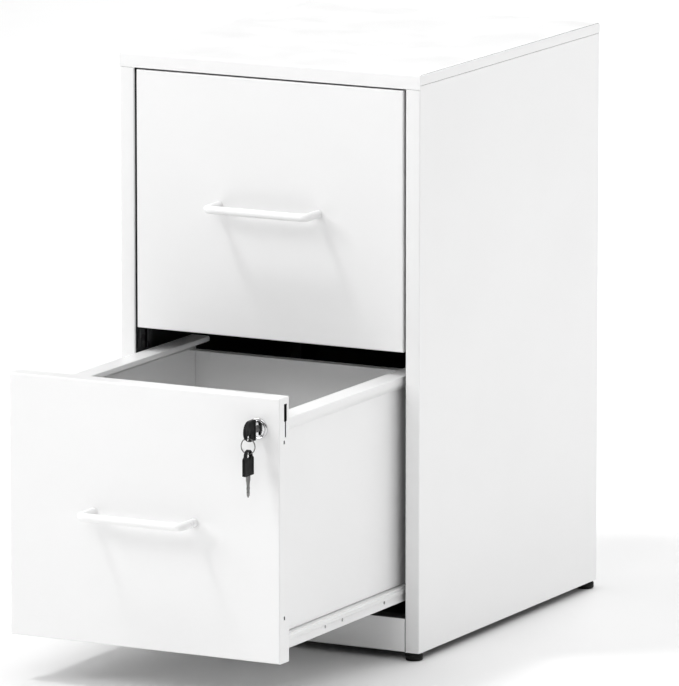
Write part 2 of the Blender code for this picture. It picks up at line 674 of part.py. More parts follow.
def add_handle(prefix, drawer, paint, steel):
    reach = HANDLE_CENTRES / 2
    corners = [(-reach, -GAP), (-reach, -HANDLE_PROJECTION), (reach, -HANDLE_PROJECTION), (reach, -GAP)]
    path = bent(corners, HANDLE_BEND_RADIUS, 6)
    curve = bpy.data.curves.new(f"{prefix}_handle_path", "CURVE")
    curve.dimensions = "3D"
    curve.bevel_depth = HANDLE_RADIUS
    curve.bevel_resolution = 3
    curve.use_fill_caps = True
    spline = curve.splines.new("POLY")
    spline.points.add(len(path) - 1)
    for point, (x, y) in zip(spline.points, path):
        point.co = (x, y, 0, 1)
    helper = bpy.data.objects.new(f"{prefix}_handle_rod", curve)
    bpy.context.collection.objects.link(helper)
    graph = bpy.context.evaluated_depsgraph_get()
    mesh = bmesh.new()
    mesh.from_mesh(bpy.data.meshes.new_from_object(helper.evaluated_get(graph)))
    bpy.data.objects.remove(helper, do_unlink=True)
    bmesh.ops.remove_doubles(mesh, verts=mesh.verts, dist=MERGE_DISTANCE)
    bmesh.ops.recalc_face_normals(mesh, faces=mesh.faces)
    handle = finish(f"{prefix}_handle", mesh, paint, drawer, (0, 0, HANDLE_Z), smooth=True)
    bore = SCREW_RADIUS + GAP
    cuts = [(circle((side * reach, 0), bore, 12), "Y", -SCREW_BORE_DEPTH, FURTHER) for side in SIDES.values()]
    cut(handle, cuts)

    head = SHEET + GAP
    profile = [
        (0, -SCREW_BORE_DEPTH + 1 * MM),
        (SCREW_RADIUS, -SCREW_BORE_DEPTH + 1 * MM),
        (SCREW_RADIUS, head),
        (4 * MM, head),
        (4 * MM, head + 1.2 * MM),
        (2.6 * MM, head + 2.4 * MM),
        (0, head + 2.4 * MM),
    ]
    for name, side in SIDES.items():
        screw = f"{prefix}_handle_{name}_screw"
        location = (side * reach, 0, HANDLE_Z)
        thing = lathe(screw, profile, "Y", steel, drawer, location)
        low = head + 1.4 * MM
        slot = rectangle((-0.4 * MM, -1.8 * MM), (0.4 * MM, 1.8 * MM))
        cut(thing, [(slot, "Y", low, low + FURTHER)])


def add_drawer(prefix, location, paint, steel, has_lock):
    drawer = empty(f"{prefix}_drawer_frame", location)
    add_drawer_front(prefix, drawer, paint, has_lock)
    add_drawer_body(prefix, drawer, paint)
    add_handle(prefix, drawer, paint, steel)
    return drawer


# ---------------------------------------------------------------- lock and keys


def bow_outline(base, far, half):
    """A key bow in (length, height): square where the blade leaves it and half round at its far end."""
    middle = far + math.copysign(half, base - far)
    towards = math.copysign(half, far - base)
    angles = [math.pi * (step / 12 - 0.5) for step in range(13)]
    arc = [(middle + towards * math.cos(a), half * math.sin(a)) for a in angles]
    return [(base, -half), *arc, (base, half)]


def blade_outline(start, end):
    """A key blade in (length, height), from its end in the bow to its tip, with bitting along one edge."""
    half = BLADE_HALF_HEIGHT
    direction = 1 if end > start else -1
    outline = [(start, -half), (end - direction * 3 * MM, -half), (end, -0.6 * MM), (end, 0.6 * MM)]
    for index, depth in enumerate(BLADE_CUT_DEPTHS):
        for along in (BLADE_CUT_PITCH * index, BLADE_CUT_PITCH * index + BLADE_CUT_FLAT):
            outline.append((end - direction * (3.5 * MM + along), half - depth))
    return outline + [(start, half)]


def add_key(name, bow_size, start, direction, plane_axis, frame, hole, plastic, steel):
    """A key with its blade along Y or Z; start is the bow's square end and direction points to the blade."""
    length, half_height = bow_size
    outline = bow_outline(start, start - direction * length, half_height)
    blade = blade_outline(start - direction * BLADE_IN_BOW, start + direction * BLADE_LENGTH)
    slot_half = BLADE_HALF_HEIGHT + GAP
    slot_end = start - direction * (BLADE_IN_BOW + GAP)
    slot = [(slot_end, -slot_half), (start + direction * FURTHER, -slot_half)]
    slot += [(start + direction * FURTHER, slot_half), (slot_end, slot_half)]
    shapes = [outline, blade, slot]
    if plane_axis == "Z":
        shapes = [[(point[1], point[0]) for point in shape] for shape in shapes]
    outline, blade, slot = shapes
    half = BOW_THICKNESS / 2
    bow = prism(f"{name}_bow", outline, "X", -half, half, plastic, frame)
    bevel = bow.modifiers.new("edges", "BEVEL")
    bevel.width = 0.5 * MM
    bevel.segments = 1
    bevel.limit_method = "ANGLE"
    bevel.angle_limit = math.radians(60)
    hole_cut = (circle(hole, BOW_HOLE_RADIUS, 16), "X", -FURTHER, FURTHER)
    slot_cut = (slot, "X", -BLADE_THICKNESS / 2 - GAP, BLADE_THICKNESS / 2 + GAP)
    cut(bow, [hole_cut, slot_cut])
    half = BLADE_THICKNESS / 2
    prism(f"{name}_blade", blade, "X", -half, half, steel, frame)


def add_lock(drawer, chrome, plastic, steel):
    """The cam lock: the housing is fixed to the drawer front; the plug, cam, nut and key turn together."""
    front = -LOCK_PROUD
    floor = -GAP - 0.7 * MM
    profile = [
        (PLUG_RADIUS + GAP, floor),
        (PLUG_FACE_RADIUS + GAP, floor),
        (PLUG_FACE_RADIUS + GAP, front + 0.3 * MM),
        (PLUG_FACE_RADIUS + 2 * GAP, front),
        (LOCK_RING_RADIUS - 1.4 * MM, front),
        (LOCK_RING_RADIUS, front + 1.4 * MM),
        (LOCK_RING_RADIUS, -GAP),
        (LOCK_BARREL_RADIUS, -GAP),
        (LOCK_BARREL_RADIUS, LOCK_BARREL_END),
        (PLUG_RADIUS + GAP, LOCK_BARREL_END),
    ]
    lathe("lock_housing", profile, "Y", chrome, drawer, (LOCK_X, 0, LOCK_Z))

    core = empty("lock_core_frame", (LOCK_X, 0, LOCK_Z), drawer)
    profile = [
        (0, front + 0.1 * MM),
        (PLUG_FACE_RADIUS - 0.2 * MM, front + 0.1 * MM),
        (PLUG_FACE_RADIUS, front + 0.3 * MM),
        (PLUG_FACE_RADIUS, floor - GAP),
        (PLUG_RADIUS, floor - GAP),
        (PLUG_RADIUS, LOCK_BARREL_END + 0.2 * MM),
        (PLUG_TAIL_RADIUS, LOCK_BARREL_END + 0.2 * MM),
        (PLUG_TAIL_RADIUS, PLUG_END),
        (0, PLUG_END),
    ]
    plug = lathe("lock_plug", profile, "Y", chrome, core)
    half_x = BLADE_THICKNESS / 2 + GAP
    half_z = BLADE_HALF_HEIGHT + GAP
    cut(plug, [(rectangle((-half_x, -half_z), (half_x, half_z)), "Y", -FURTHER, PLUG_END + FURTHER)])

    arm = rectangle((-CAM_HALF_WIDTH, -CAM_TAIL), (CAM_HALF_WIDTH, CAM_REACH))
    cam_outline = rounded_outline(arm, CAM_CORNER, 3)
    cam = prism("lock_cam", cam_outline, "Y", CAM_Y, CAM_Y + CAM_THICKNESS, steel, core)
    hub = (circle((0, 0), CAM_HUB_RADIUS, 24), "Y", CAM_Y + 0.01 * MM, CAM_Y + CAM_THICKNESS - 0.01 * MM)
    fuse(cam, [hub])
    hole = circle((0, 0), PLUG_TAIL_RADIUS + GAP)
    cut(cam, [(hole, "Y", CAM_Y - FURTHER, CAM_Y + FURTHER)])
    nut_end = CAM_NUT_Y + CAM_NUT_THICKNESS
    nut = prism("lock_cam_nut", regular_hexagon(CAM_NUT_ACROSS_FLATS), "Y", CAM_NUT_Y, nut_end, steel, core)
    cut(nut, [(hole, "Y", CAM_NUT_Y - FURTHER, CAM_NUT_Y + FURTHER)])

    hole = (-KEY_STAND_OFF - BOW_HOLE_FROM_BASE, -BOW_HOLE_BELOW)
    add_key("key", KEY_BOW, -KEY_STAND_OFF, 1, "Y", core, hole, plastic, steel)

    ring = empty("key_ring_frame", (0, hole[0], hole[1]), core)
    mesh = bmesh.new()
    wire = circle((RING_RADIUS, 0), RING_WIRE_RADIUS, 8)
    add_lathe(mesh, wire, "Y", Vector((0, 0, -RING_RADIUS)))
    finish("key_ring", mesh, steel, ring, smooth=True)

    spare = empty("spare_key_frame", (0, 0, -2 * RING_RADIUS), ring)
    square_end = SPARE_HOLE_BELOW_TOP - SPARE_BOW[0]
    add_key("spare_key", SPARE_BOW, square_end, -1, "Z", spare, (0, 0), plastic, steel)


# ---------------------------------------------------------------- assembly


def build():
    remove_everything()
    paint = make_material("white_powder_coat", (0.83, 0.83, 0.82), 0.35)
    chrome = make_material("chrome", (0.75, 0.75, 0.76), 0.08, 1.0)
    steel = make_material("zinc_plated_steel", (0.62, 0.63, 0.64), 0.35, 1.0)
    plastic = make_material("black_plastic", (0.02, 0.02, 0.02), 0.45)
    nylon = make_material("white_nylon", (0.78, 0.78, 0.75), 0.5)

    cabinet = empty("cabinet_frame", (0, FRONT_Y, 0))
    add_top_panel(cabinet, paint)
    add_back_panel(cabinet, paint)
    add_plinth_rail(cabinet, paint)
    add_top_front_rail(cabinet, paint)
    add_base_pan(cabinet, paint)

    upper = add_drawer("upper", (0, FRONT_Y, UPPER_DRAWER_Z), paint, steel, has_lock=False)
    open_y = FRONT_Y - OPEN_AT_REST
    lower = add_drawer("lower", (0, open_y, LOWER_DRAWER_Z), paint, steel, has_lock=True)
    add_lock(lower, chrome, plastic, steel)

    for name, side in SIDES.items():
        add_side_panel(f"{name}_side_panel", side, cabinet, paint)
        for end, y in UPRIGHTS_Y.items():
            add_upright(f"{end}_{name}_upright", side, y, cabinet, steel)
        for end, y in GLIDES_Y.items():
            add_glide(f"{end}_{name}_glide", side, y, cabinet, plastic)
        for prefix, drawer, bottom in (
            ("upper", upper, UPPER_DRAWER_Z),
            ("lower", lower, LOWER_DRAWER_Z),
        ):
            add_cabinet_slide(f"{prefix}_{name}_cabinet_slide", side, bottom, cabinet, paint)
            add_drawer_slide(f"{prefix}_{name}_drawer_slide", side, drawer, paint)
            front_z = bottom + front_axle_z()
            front = f"{prefix}_{name}_front_roller"
            add_roller(front, side, FRONT_ROLLER_RADIUS, FRONT_ROLLER_Y, front_z, cabinet, nylon)
            rear = f"{prefix}_{name}_rear_roller"
            add_roller(rear, side, REAR_ROLLER_RADIUS, REAR_ROLLER_Y, rear_axle_z(), drawer, nylon)


build()
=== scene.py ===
"""Looks for the two-drawer filing cabinet: white powder-coated sheet steel, a chrome cam lock with its keys,
nylon rollers and black glides, in a bright studio. Metres, +Z up, front towards -Y."""

import json
import math

import bmesh
import bpy
from mathutils import Matrix, Vector

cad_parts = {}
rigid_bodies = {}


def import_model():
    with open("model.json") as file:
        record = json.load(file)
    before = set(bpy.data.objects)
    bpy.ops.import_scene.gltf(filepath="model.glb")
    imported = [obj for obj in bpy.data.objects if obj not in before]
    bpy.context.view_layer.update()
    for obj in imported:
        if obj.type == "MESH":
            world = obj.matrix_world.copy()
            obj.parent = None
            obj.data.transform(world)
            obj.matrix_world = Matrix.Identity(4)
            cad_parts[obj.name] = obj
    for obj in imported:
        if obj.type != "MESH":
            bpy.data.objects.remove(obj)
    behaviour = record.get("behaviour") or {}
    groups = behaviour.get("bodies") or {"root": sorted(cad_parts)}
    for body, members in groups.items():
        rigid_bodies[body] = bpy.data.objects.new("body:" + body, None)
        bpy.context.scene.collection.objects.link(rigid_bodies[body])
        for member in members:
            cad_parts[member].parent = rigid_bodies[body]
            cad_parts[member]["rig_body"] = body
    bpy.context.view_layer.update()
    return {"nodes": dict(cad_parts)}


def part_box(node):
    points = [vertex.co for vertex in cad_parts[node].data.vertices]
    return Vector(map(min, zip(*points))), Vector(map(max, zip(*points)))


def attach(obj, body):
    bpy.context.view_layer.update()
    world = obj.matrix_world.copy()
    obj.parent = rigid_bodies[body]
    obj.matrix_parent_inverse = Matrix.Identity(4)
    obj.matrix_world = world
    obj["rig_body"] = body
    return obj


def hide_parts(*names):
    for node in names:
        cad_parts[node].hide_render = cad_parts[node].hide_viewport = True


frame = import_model()

MM = 0.001
DRAWERS = ("upper", "lower")

# Camera: where it stands, its turn to the left, its tilt below level, its lens and sensor in mm, and how far
# it sees in m
CAMERA_PLACE = Vector((4.3398, -8.1529, 2.0371))
CAMERA_YAW = math.radians(27.73)
CAMERA_PITCH = math.radians(10.53)
CAMERA_LENS = 458.66
CAMERA_REACH = 100
SENSOR_WIDTH = 36

SMOOTH_ANGLE = math.radians(38)


# ---------------------------------------------------------------- places read from the frame


def centre(node):
    low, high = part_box(node)
    return (low + high) / 2


def half_size(node):
    low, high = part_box(node)
    return (high - low) / 2


def body_of(node):
    return frame["nodes"][node]["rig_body"]


# ---------------------------------------------------------------- materials

# A mix node's colour sockets, which share their names with its other sockets
MIX_FIRST = 6
MIX_SECOND = 7
MIX_RESULT = 2


def new_material(name):
    material = bpy.data.materials.new(name)
    material.use_nodes = True
    tree = material.node_tree
    return material, tree, tree.nodes["Principled BSDF"]


def add_node(tree, kind, **settings):
    node = tree.nodes.new(kind)
    for key, value in settings.items():
        if key in node.inputs:
            node.inputs[key].default_value = value
        else:
            setattr(node, key, value)
    return node


def object_coordinates(tree, stretch=(1, 1, 1)):
    coordinates = add_node(tree, "ShaderNodeTexCoord")
    mapping = add_node(tree, "ShaderNodeMapping")
    mapping.inputs["Scale"].default_value = stretch
    tree.links.new(coordinates.outputs["Object"], mapping.inputs["Vector"])
    return mapping.outputs["Vector"]


def grey(tone):
    return (tone, tone, tone)


def scaled(color, factor):
    return tuple(channel * factor for channel in color)


def noise(tree, vector, scale, detail=3.0, roughness=0.5):
    node = add_node(tree, "ShaderNodeTexNoise", Scale=scale, Detail=detail, Roughness=roughness)
    tree.links.new(vector, node.inputs["Vector"])
    return node.outputs["Fac"]


def spread(tree, factor, low, high, from_low=0.3, from_high=0.7):
    """Maps a factor's usual range onto low to high."""
    node = add_node(tree, "ShaderNodeMapRange")
    node.inputs["From Min"].default_value = from_low
    node.inputs["From Max"].default_value = from_high
    node.inputs["To Min"].default_value = low
    node.inputs["To Max"].default_value = high
    tree.links.new(factor, node.inputs["Value"])
    return node.outputs["Result"]


def mix_colors(tree, factor, first, second):
    """Goes from the first colour to the second; each is a tuple or a socket."""
    node = add_node(tree, "ShaderNodeMix", data_type="RGBA")
    for socket, value in ((MIX_FIRST, first), (MIX_SECOND, second)):
        if isinstance(value, tuple):
            node.inputs[socket].default_value = (*value, 1)
        else:
            tree.links.new(value, node.inputs[socket])
    tree.links.new(factor, node.inputs["Factor"])
    return node.outputs[MIX_RESULT]


def bump(tree, layers):
    """Bumps on top of one another, each (height, depth in metres, strength)."""
    normal = None
    for height, depth, strength in layers:
        node = add_node(tree, "ShaderNodeBump", Strength=strength, Distance=depth)
        tree.links.new(height, node.inputs["Height"])
        if normal is not None:
            tree.links.new(normal, node.inputs["Normal"])
        normal = node.outputs["Normal"]
    return normal


def powder_coat(name, color, roughness, dust=0.02, peel=0.3):
    """Baked powder paint: fine orange peel over slightly wavy sheet, with a little dust and handling haze."""
    material, tree, shader = new_material(name)
    vector = object_coordinates(tree)
    clouds = noise(tree, vector, scale=7.0, detail=4.0)
    specks = noise(tree, vector, scale=420.0, detail=2.0, roughness=0.7)
    handling = noise(tree, vector, scale=16.0, detail=5.0, roughness=0.6)
    peel_height = noise(tree, vector, scale=1300.0, detail=2.0)
    sheet_wave = noise(tree, vector, scale=4.5, detail=1.0)
    clean = mix_colors(tree, spread(tree, clouds, 0, 1), color, scaled(color, 1 - dust))
    few_specks = spread(tree, specks, 0, 0.35, from_low=0.66, from_high=0.8)
    tree.links.new(mix_colors(tree, few_specks, clean, scaled(color, 0.9)), shader.inputs["Base Color"])
    haze = spread(tree, handling, roughness - 0.05, roughness + 0.07)
    tree.links.new(haze, shader.inputs["Roughness"])
    shader.inputs["Specular IOR Level"].default_value = 0.45
    layers = [(sheet_wave, 0.6 * MM, 0.5), (peel_height, 0.02 * MM, peel)]
    tree.links.new(bump(tree, layers), shader.inputs["Normal"])
    return material


def between(tree, value, low, high):
    """1 where the value lies between low and high, else 0."""
    above = add_node(tree, "ShaderNodeMath", operation="GREATER_THAN")
    above.inputs[1].default_value = low
    below = add_node(tree, "ShaderNodeMath", operation="LESS_THAN")
    below.inputs[1].default_value = high
    both = add_node(tree, "ShaderNodeMath", operation="MULTIPLY")
    tree.links.new(value, above.inputs[0])
    tree.links.new(value, below.inputs[0])
    tree.links.new(above.outputs[0], both.inputs[0])
    tree.links.new(below.outputs[0], both.inputs[1])
    return both.outputs[0]


def coat_with_painted_shade(name, outside, painted_shade, low, high):
    """Powder paint outside, and a near-black painted shade on what lies inside the box from low to high."""
    material = outside.copy()
    material.name = name
    tree = material.node_tree
    shader = tree.nodes["Principled BSDF"]
    coordinates = add_node(tree, "ShaderNodeTexCoord")
    split = add_node(tree, "ShaderNodeSeparateXYZ")
    tree.links.new(coordinates.outputs["Object"], split.inputs[0])
    # Mask of the box's inside, where the colour is painted shade
    in_painted_shade = None
    for axis, from_value, to_value in zip("XYZ", low, high):
        within = between(tree, split.outputs[axis], from_value, to_value)
        if in_painted_shade is not None:
            both = add_node(tree, "ShaderNodeMath", operation="MULTIPLY")
            tree.links.new(in_painted_shade, both.inputs[0])
            tree.links.new(within, both.inputs[1])
            within = both.outputs[0]
        in_painted_shade = within
    # Inside the box the colour turns near-black: painted shade
    painted = shader.inputs["Base Color"].links[0].from_socket
    tree.links.new(mix_colors(tree, in_painted_shade, painted, painted_shade), shader.inputs["Base Color"])
    return material


def metal(name, color, roughness, stretch, scratch_scale, scratch_depth, smudge):
    """Bare or plated metal, with fine lines where it was brushed or rubbed and uneven gloss."""
    material, tree, shader = new_material(name)
    vector = object_coordinates(tree)
    lines = noise(tree, object_coordinates(tree, stretch), scratch_scale, detail=4.0, roughness=0.65)
    blotches = noise(tree, vector, scale=90.0, detail=4.0, roughness=0.6)
    tone = mix_colors(tree, spread(tree, blotches, 0, 1), color, scaled(color, 0.82))
    tree.links.new(tone, shader.inputs["Base Color"])
    shader.inputs["Metallic"].default_value = 1.0
    gloss = spread(tree, blotches, roughness, roughness + smudge)
    tree.links.new(gloss, shader.inputs["Roughness"])
    tree.links.new(bump(tree, [(lines, scratch_depth, 0.35)]), shader.inputs["Normal"])
    return material


def zinc_plate(name):
    """Galvanised sheet with its broad crystal pattern."""
    material, tree, shader = new_material(name)
    vector = object_coordinates(tree)
    crystals = add_node(tree, "ShaderNodeTexVoronoi", Scale=120.0)
    tree.links.new(vector, crystals.inputs["Vector"])
    split = add_node(tree, "ShaderNodeSeparateColor")
    tree.links.new(crystals.outputs["Color"], split.inputs[0])
    tone = mix_colors(tree, split.outputs[0], (0.10, 0.10, 0.105), (0.17, 0.17, 0.175))
    tree.links.new(tone, shader.inputs["Base Color"])
    shader.inputs["Metallic"].default_value = 1.0
    gloss = spread(tree, split.outputs[1], 0.35, 0.6, from_low=0, from_high=1)
    tree.links.new(gloss, shader.inputs["Roughness"])
    grain = noise(tree, vector, scale=600.0)
    tree.links.new(bump(tree, [(grain, 0.02 * MM, 0.4)]), shader.inputs["Normal"])
    return material


def plastic(name, color, roughness, grain_scale, grain_depth, worn, shine=0.5):
    """Moulded plastic with a fine spark-eroded grain, rubbed smoother and paler in places."""
    material, tree, shader = new_material(name)
    vector = object_coordinates(tree)
    wear = noise(tree, vector, scale=150.0, detail=4.0, roughness=0.6)
    rubbed = spread(tree, wear, 0, 1, from_low=0.45, from_high=0.75)
    tree.links.new(mix_colors(tree, rubbed, color, worn), shader.inputs["Base Color"])
    gloss = spread(tree, rubbed, roughness + 0.08, roughness - 0.08, from_low=0, from_high=1)
    tree.links.new(gloss, shader.inputs["Roughness"])
    grain = noise(tree, vector, grain_scale, detail=2.0, roughness=0.6)
    tree.links.new(bump(tree, [(grain, grain_depth, 0.5)]), shader.inputs["Normal"])
    shader.inputs["Specular IOR Level"].default_value = shine
    return material


def plain_floor():
    material, tree, shader = new_material("studio_floor")
    vector = object_coordinates(tree)
    patches = spread(tree, noise(tree, vector, scale=3.0), 0, 1)
    tone = mix_colors(tree, patches, grey(0.865), grey(0.85))
    tree.links.new(tone, shader.inputs["Base Color"])
    shader.inputs["Roughness"].default_value = 0.6
    shader.inputs["Specular IOR Level"].default_value = 0.2
    return material


# Near-black painted shade: this colour stands in for the shade inside the cabinet
PAINTED_SHADE_TONE = (0.03, 0.03, 0.031)
PAINT = powder_coat("white_powder_coat", grey(0.86), roughness=0.36)
HANDLE_PAINT = powder_coat("handle_powder_coat", grey(0.9), roughness=0.3, peel=0.15)
SLIDE_PAINT = powder_coat("slide_epoxy_coat", grey(0.84), roughness=0.42, dust=0.05)
# A coat of the near-black painted shade, for hidden inner parts
PAINTED_SHADE_COAT = powder_coat("painted_shade_coat", PAINTED_SHADE_TONE, roughness=0.6, dust=0.2)
ZINC = zinc_plate("zinc_plate")
CHROME = metal(
    "chrome",
    (0.78, 0.78, 0.79),
    roughness=0.05,
    stretch=(1, 1, 1),
    scratch_scale=900.0,
    scratch_depth=0.004 * MM,
    smudge=0.06,
)
KEY_STEEL = metal(
    "nickel_silver",
    (0.22, 0.22, 0.215),
    roughness=0.25,
    stretch=(1, 1, 6),
    scratch_scale=500.0,
    scratch_depth=0.01 * MM,
    smudge=0.12,
)
BLACK_PLASTIC = plastic(
    "black_plastic",
    grey(0.004),
    roughness=0.45,
    grain_scale=1500.0,
    grain_depth=0.02 * MM,
    worn=grey(0.012),
    shine=0.12,
)
GLIDE_PLASTIC = plastic(
    "glide_plastic",
    grey(0.004),
    roughness=0.5,
    grain_scale=700.0,
    grain_depth=0.05 * MM,
    worn=(0.016, 0.016, 0.015),
    shine=0.15,
)
NYLON = plastic(
    "white_nylon",
    (0.72, 0.72, 0.7),
    roughness=0.45,
    grain_scale=900.0,
    grain_depth=0.02 * MM,
    worn=(0.6, 0.6, 0.57),
)


# ---------------------------------------------------------------- mesh helpers

JOIN_DISTANCE = 0.0001 * MM
# A cutter reaches this far past the face it cuts
CUT_MARGIN = 1 * MM


def finish_piece(name, mesh, material, body, replaced, location=(0, 0, 0)):
    """Makes the mesh a piece that rides on its body, in place of the nodes that it replaces."""
    data = bpy.data.meshes.new(name)
    bmesh.ops.recalc_face_normals(mesh, faces=mesh.faces)
    mesh.to_mesh(data)
    mesh.free()
    data.materials.append(material)
    data.shade_smooth()
    data.set_sharp_from_angle(angle=SMOOTH_ANGLE)
    piece = bpy.data.objects.new(name, data)
    bpy.context.scene.collection.objects.link(piece)
    piece.location = location
    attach(piece, body)
    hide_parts(*replaced)
    return piece


def add_bevel(piece, width, segments, angle):
    """Rounds the edges that turn by more than the angle, in degrees."""
    modifier = piece.modifiers.new("edges", "BEVEL")
    modifier.width = width
    modifier.segments = segments
    modifier.limit_method = "ANGLE"
    modifier.angle_limit = math.radians(angle)
    modifier.use_clamp_overlap = True
    weighted = piece.modifiers.new("flat_faces", "WEIGHTED_NORMAL")
    weighted.keep_sharp = True


def cut_with(piece, mesh, name):
    """Cuts a helper mesh out of the piece and applies the cut."""
    data = bpy.data.meshes.new(name)
    bmesh.ops.recalc_face_normals(mesh, faces=mesh.faces)
    mesh.to_mesh(data)
    mesh.free()
    helper = bpy.data.objects.new(name, data)
    bpy.context.scene.collection.objects.link(helper)
    helper.matrix_world = piece.matrix_world
    modifier = piece.modifiers.new("cut", "BOOLEAN")
    modifier.operation = "DIFFERENCE"
    modifier.solver = "EXACT"
    modifier.object = helper
    bpy.context.view_layer.update()
    graph = bpy.context.evaluated_depsgraph_get()
    result = bpy.data.meshes.new_from_object(piece.evaluated_get(graph))
    piece.modifiers.remove(modifier)
    piece.data = result
    bpy.data.objects.remove(helper)
    result.shade_smooth()
    result.set_sharp_from_angle(angle=SMOOTH_ANGLE)


def turned(profile, segments):
    """A body turned about Z from (radius, height) points; radius 0 closes it on the axis."""
    mesh = bmesh.new()
    rings = []
    for radius, height in profile:
        angles = [2 * math.pi * step / segments for step in range(segments)]
        rings.append([mesh.verts.new((radius * math.cos(a), radius * math.sin(a), height)) for a in angles])
    if profile[0][0] > 0:
        rings.append(rings[0])
    for first, second in zip(rings, rings[1:]):
        for index in range(segments):
            mesh.faces.new((first[index - 1], first[index], second[index], second[index - 1]))
    bmesh.ops.remove_doubles(mesh, verts=mesh.verts, dist=JOIN_DISTANCE)
    return mesh


def turn_to(mesh, axis):
    """Turns a mesh made about Z onto another axis."""
    turn = {"X": Matrix.Rotation(math.pi / 2, 3, "Y"), "Y": Matrix.Rotation(-math.pi / 2, 3, "X")}
    bmesh.ops.rotate(mesh, cent=(0, 0, 0), matrix=turn[axis], verts=mesh.verts)
    return mesh


def plate(outline, low, high):
    """A plate in the YZ plane, from low to high along X."""
    mesh = bmesh.new()
    rings = [[mesh.verts.new((x, y, z)) for y, z in outline] for x in (low, high)]
    mesh.faces.new(rings[0][::-1])
    mesh.faces.new(rings[1])
    for index in range(len(outline)):
        mesh.faces.new((rings[0][index - 1], rings[0][index], rings[1][index], rings[1][index - 1]))
    return mesh


def swept(path, radius, sides):
    """A round rod along a path of points."""
    mesh = bmesh.new()
    rings = []
    side = None
    for before, point, after in zip([path[0]] + path, path, path[1:] + [path[-1]]):
        along = (after - before).normalized()
        side = along.orthogonal() if side is None else side - along * side.dot(along)
        side.normalize()
        across = along.cross(side)
        angles = [2 * math.pi * step / sides for step in range(sides)]
        offsets = [side * math.cos(a) + across * math.sin(a) for a in angles]
        rings.append([mesh.verts.new(point + offset * radius) for offset in offsets])
    for first, second in zip(rings, rings[1:]):
        for index in range(sides):
            mesh.faces.new((first[index - 1], first[index], second[index], second[index - 1]))
    mesh.faces.new(rings[0][::-1])
    mesh.faces.new(rings[-1])
    return mesh


def arc(middle, radius, first, last, steps):
    """Points in a plane along an arc, angles in degrees."""
    angles = [math.radians(first + (last - first) * step / steps) for step in range(steps + 1)]
    return [(middle[0] + radius * math.cos(a), middle[1] + radius * math.sin(a)) for a in angles]


def circle(middle, radius, steps):
    return arc(middle, radius, 0, 360, steps)[:-1]


def rectangle(low_across, high_across, low_up, high_up):
    return [(low_across, low_up), (high_across, low_up), (high_across, high_up), (low_across, high_up)]


def face_cut(side, thick, depth):
    """From the depth below one face of a plate to well in front of it, in rising order."""
    return sorted((side * (thick - depth), side * (thick + CUT_MARGIN)))


# ---------------------------------------------------------------- sheet metal carried over from the frame

WELD_DISTANCE = 0.001 * MM
SHEET_BEVEL = 0.28 * MM
SHEET_BEVEL_SEGMENTS = 3
# The near-black painted shade inside starts this far in from the outer faces and this far behind the shell's
# front edge, and it reaches this far past the plinth rail
PAINTED_SHADE_DEPTH = 0.6 * MM
RETURN_EDGE = 2.5 * MM
PAINTED_SHADE_MARGIN = 1 * MM


def material_for(node):
    """The material of a frame node, also of one that a piece replaces."""
    if node in ("left_side_panel", "right_side_panel", "top_panel", "back_panel"):
        return SHELL_PAINT_AND_SHADE
    if node == "plinth_rail":
        return PLINTH_PAINT_AND_SHADE
    for drawer, paint in FRONT_PAINTS_AND_SHADE.items():
        if node in (f"{drawer}_drawer_front", f"{drawer}_drawer_inner_front"):
            return paint
    # The base pan, the top front rail and the cabinet slides get the near-black painted shade
    if node in ("base_pan", "top_front_rail") or node.endswith("_cabinet_slide"):
        return PAINTED_SHADE_COAT
    if node.endswith("_drawer_slide"):
        return SLIDE_PAINT
    if node.endswith("_upright") or node.endswith("_screw") or node in ("lock_cam", "lock_cam_nut"):
        return ZINC
    return PAINT


def shell_inside():
    """The space inside the shell, whose faces get the near-black painted shade."""
    top_low, top_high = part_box("top_panel")
    side_low, side_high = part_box("right_side_panel")
    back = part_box("back_panel")[1].y
    half = side_high.x - PAINTED_SHADE_DEPTH
    low = (-half, top_low.y + RETURN_EDGE, side_low.z - PAINTED_SHADE_DEPTH)
    high = (half, back - PAINTED_SHADE_DEPTH, top_high.z - PAINTED_SHADE_DEPTH)
    return low, high


def plinth_inside():
    """All of the plinth rail behind its front face."""
    low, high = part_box("plinth_rail")
    start = low + Vector((-PAINTED_SHADE_MARGIN, PAINTED_SHADE_DEPTH, -PAINTED_SHADE_MARGIN))
    return start, high + Vector((PAINTED_SHADE_MARGIN, PAINTED_SHADE_MARGIN, PAINTED_SHADE_MARGIN))


def front_inside(drawer):
    """The space between a drawer's front pan and its inner panel."""
    low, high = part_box(f"{drawer}_drawer_front")
    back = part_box(f"{drawer}_drawer_inner_front")[1].y
    inset = Vector((PAINTED_SHADE_DEPTH, PAINTED_SHADE_DEPTH, PAINTED_SHADE_DEPTH))
    return low + inset, Vector((high.x, back, high.z)) - inset


def front_paint_with_shade(drawer):
    """The paint of a drawer front, with near-black painted shade inside; its box is in the front's own
    coordinates.
    """
    to_local = frame["nodes"][f"{drawer}_drawer_front"].matrix_world.inverted()
    corners = [to_local @ corner for corner in front_inside(drawer)]
    return coat_with_painted_shade(f"{drawer}_front_coat_with_painted_shade", PAINT, PAINTED_SHADE_TONE, *corners)


# White paint outside, near-black painted shade on the insides of the shell, the plinth and the drawer fronts
SHELL_PAINT_AND_SHADE = coat_with_painted_shade("shell_coat_with_painted_shade", PAINT, PAINTED_SHADE_TONE, *shell_inside())
PLINTH_PAINT_AND_SHADE = coat_with_painted_shade("plinth_coat_with_painted_shade", PAINT, PAINTED_SHADE_TONE, *plinth_inside())
FRONT_PAINTS_AND_SHADE = {drawer: front_paint_with_shade(drawer) for drawer in DRAWERS}


